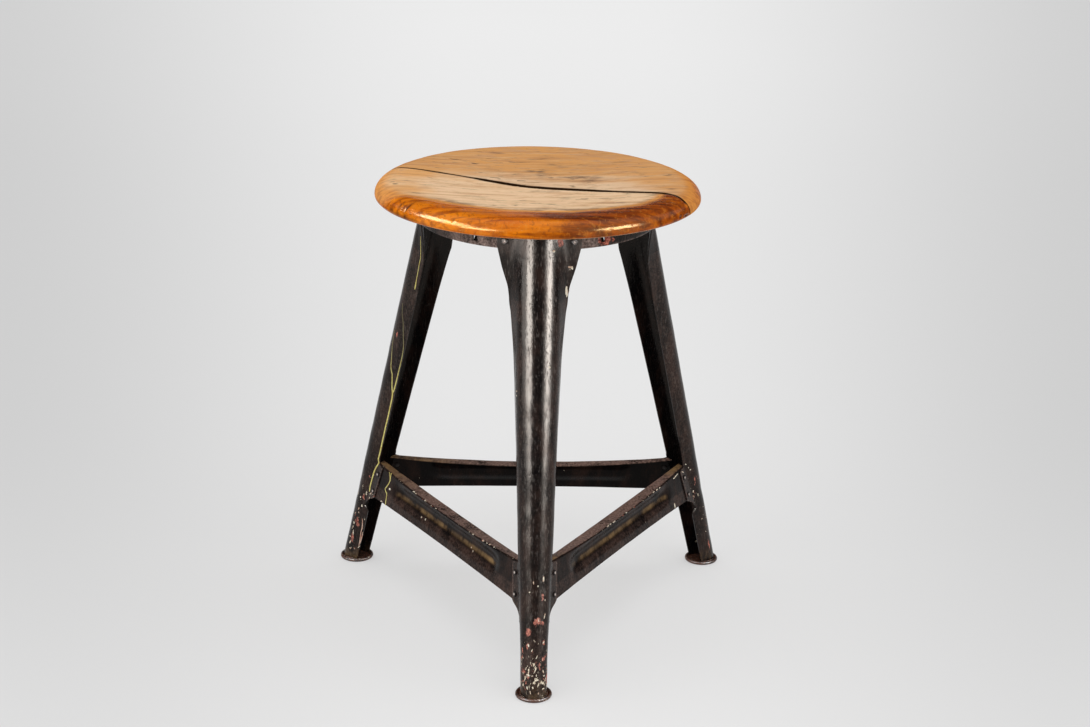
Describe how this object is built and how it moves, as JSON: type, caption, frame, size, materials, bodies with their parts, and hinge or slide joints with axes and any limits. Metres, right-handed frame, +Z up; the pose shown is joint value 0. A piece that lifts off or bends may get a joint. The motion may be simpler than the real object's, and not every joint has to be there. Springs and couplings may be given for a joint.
{
  "type": "three-legged workshop stool",
  "caption": "Workshop stool: round dished wooden seat in two boards on pressed-steel channel legs joined by beaded stretchers.",
  "frame": {"origin": "on the floor, under the centre of the round seat, at the middle of the three feet", "axes": "+Z up along the seat's axis; -Y towards the front leg; +X to the right as seen from the front leg's side"},
  "size_m": [0.4484, 0.4309, 0.4925],
  "materials": {
    "seat_wood": "amber varnish, glossy at the rim and worn dull and grey on top",
    "black_enamel": "glossy black enamel with a brown tint, worn and chipped",
    "rivet_steel": "black enamel rubbed brown",
    "foot_steel": "worn enamel with rust",
    "screw_steel": "plain steel"
  },
  "bodies": {
    "root": {"foot_front": "foot_steel", "foot_left": "foot_steel", "foot_right": "foot_steel", "leg_front": "black_enamel", "leg_left": "black_enamel", "leg_right": "black_enamel", "ring_rivets_front": "rivet_steel", "ring_rivets_left": "rivet_steel", "ring_rivets_right": "rivet_steel", "seat_board_front": "seat_wood", "seat_board_rear": "seat_wood", "seat_ring": "black_enamel", "seat_screws": "screw_steel", "stretcher_left": "black_enamel", "stretcher_rear": "black_enamel", "stretcher_right": "black_enamel", "stretcher_rivets_front_left": "rivet_steel", "stretcher_rivets_front_right": "rivet_steel", "stretcher_rivets_left_front": "rivet_steel", "stretcher_rivets_left_rear": "rivet_steel", "stretcher_rivets_right_front": "rivet_steel", "stretcher_rivets_right_rear": "rivet_steel"}
  },
  "joints": []
}
